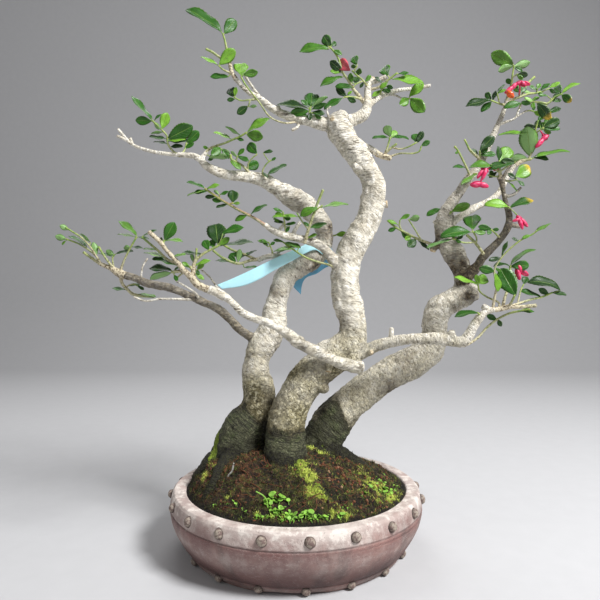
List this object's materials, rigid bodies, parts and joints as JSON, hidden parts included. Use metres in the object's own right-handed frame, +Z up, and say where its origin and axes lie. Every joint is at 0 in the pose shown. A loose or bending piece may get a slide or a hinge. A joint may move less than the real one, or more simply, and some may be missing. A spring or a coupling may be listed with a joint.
{
  "type": "burning bush bonsai in pot",
  "caption": "Clump-style burning bush bonsai with curved trunks, leafy shoots and pink fruit, in a low round drum pot of unglazed clay.",
  "frame": {"origin": "under the middle of the whole object's box, on the surface that the pot stands on", "axes": "+Z up, +X to the right and +Y away from the viewer who faces the front of the tree"},
  "size_m": [0.6376, 0.3016, 0.6388],
  "materials": {
    "clay": "unglazed, with white bloom",
    "net_plastic": "matte",
    "bark": "rough bark",
    "wire": "dull",
    "soil": "granular, with moss",
    "label_plastic": "smooth",
    "foliage": "satin leaf and green shoot",
    "capsule": "satin fruit skin",
    "seed_coat": "glossy fruit flesh",
    "autumn_leaf": "satin leaf"
  },
  "bodies": {
    "root": {"pot": "clay", "drain_mesh_left": "net_plastic", "drain_mesh_right": "net_plastic", "tree_wood": "bark", "anchor_wire": "wire", "soil": "soil", "label_tag": "label_plastic", "shoot_topLeftTip": "foliage", "shoot_longThinTop": "foliage", "shoot_lowTopLeft": "foliage", "shoot_trunkTopCluster": "foliage", "shoot_crownStem": "foliage", "shoot_crownSide": "foliage", "shoot_crownLow": "foliage", "shoot_topRightBranchlet": "foliage", "shoot_topRightFar": "foliage", "shoot_topRightInner": "foliage", "shoot_rightStubTwigs": "foliage", "shoot_lowerLeftEnd": "foliage", "shoot_frontLeftEnd": "foliage", "shoot_reddishShoot": "foliage", "shoot_greenCutShoot": "foliage", "shoot_hiddenShoot": "foliage", "shoot_smallForkShoot": "foliage", "shoot_behindTagShoot": "foliage", "shoot_aboveTagShoot": "foliage", "shoot_overTagTwig": "foliage", "shoot_leftUpper": "foliage", "shoot_leftInner": "foliage", "shoot_archTwig": "foliage", "shoot_archShoot": "foliage", "shoot_gapShoot": "foliage", "shoot_heartShoot": "foliage", "shoot_darkRightPair": "foliage", "shoot_trunkRightPair": "foliage", "shoot_forkLeaves": "foliage", "shoot_cutTwigRight": "foliage", "shoot_darkLeafRight": "foliage", "shoot_upperTwigRight": "foliage", "shoot_nodeCluster": "foliage", "shoot_sideNodeShoot": "foliage", "shoot_whiteTip": "foliage", "shoot_budPair": "foliage", "shoot_topShoot": "foliage", "shoot_topLeftLeaves": "foliage", "shoot_topRightSpray": "foliage", "shoot_lowerSpray": "foliage", "shoot_bentTwigLeaves": "foliage", "shoot_frontRightEnd": "foliage", "shoot_lowRightTwig": "foliage", "shoot_frontRightLeaf": "foliage", "fruitTop": "capsule", "fruitMiddleRight": "capsule", "fruitHanging": "capsule", "fruitSmall": "capsule", "fruitBelow": "capsule", "fruitFrontRight": "capsule", "aril": "seed_coat", "red_leaf": "autumn_leaf"}
  },
  "joints": []
}
